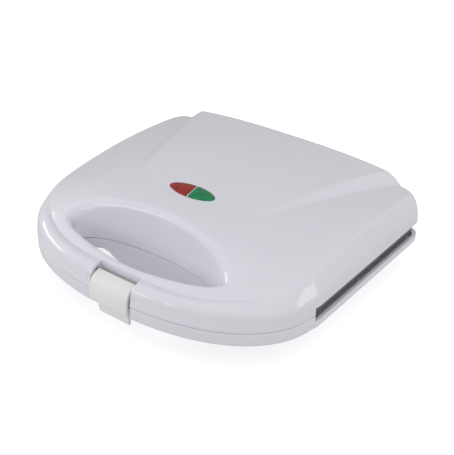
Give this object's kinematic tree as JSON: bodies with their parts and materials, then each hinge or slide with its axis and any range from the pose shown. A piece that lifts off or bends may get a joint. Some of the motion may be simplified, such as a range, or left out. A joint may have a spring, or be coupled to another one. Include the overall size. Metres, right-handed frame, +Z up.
{
  "type": "sandwich toaster",
  "caption": "Countertop sandwich toaster with a domed white hinged lid, scooped hand hole through the front, side slot, latch on the handle and almond indicator window.",
  "frame": {"origin": "middle of the overall box at floor level, under the feet", "axes": "+Z up, -Y towards the handle and latch, +Y towards the hinge, +X to the right seen from the front"},
  "size_m": [0.228, 0.214, 0.0727],
  "materials": {
    "housing": "gloss white moulding",
    "plate_coating": "dark non-stick coating on cast aluminium",
    "element_steel": "dull steel sheath",
    "reflector_sheet": "bright sheet",
    "screw_steel": "plated",
    "foot_rubber": "matte",
    "pin_steel": "ground",
    "block_plastic": "matte",
    "brass": "satin",
    "thermostat_body": "matte",
    "fuse_case": "satin",
    "red_lens": "clear tinted, gloss",
    "green_lens": "clear tinted, gloss",
    "lamp_glass_red": "clear",
    "lamp_glass_green": "clear",
    "holder_plastic": "matte",
    "latch_plastic": "satin warm grey",
    "bush_rubber": "matte"
  },
  "bodies": {
    "base": {"lower_housing": "housing", "lower_plate": "plate_coating", "lower_element": "element_steel", "lower_reflector": "reflector_sheet", "lower_plate_screws": "screw_steel", "rubber_feet": "foot_rubber", "foot_screws": "screw_steel", "hinge_pins": "pin_steel", "cord_bush": "bush_rubber", "terminal_block": "block_plastic", "terminal_screws": "brass"},
    "lid": {"upper_housing": "housing", "upper_plate": "plate_coating", "upper_element": "element_steel", "upper_reflector": "reflector_sheet", "upper_plate_screws": "screw_steel", "thermostat": "thermostat_body", "thermal_fuse": "fuse_case", "power_lens": "red_lens", "ready_lens": "green_lens", "power_lamp": "lamp_glass_red", "ready_lamp": "lamp_glass_green", "lamp_holder": "holder_plastic", "latch_pin": "pin_steel"},
    "latch": {"latch_clip": "latch_plastic"}
  },
  "joints": [
    {"name": "lid_hinge", "type": "hinge", "parent": "base", "child": "lid", "pos_m": [0, 0.1028, 0.0323], "axis": [-1, 0, 0], "range_deg": [0, 100]},
    {"name": "latch_hinge", "type": "hinge", "parent": "lid", "child": "latch", "pos_m": [0, -0.0993, 0.0382], "axis": [-1, 0, 0], "range_deg": [0, 50]}
  ]
}
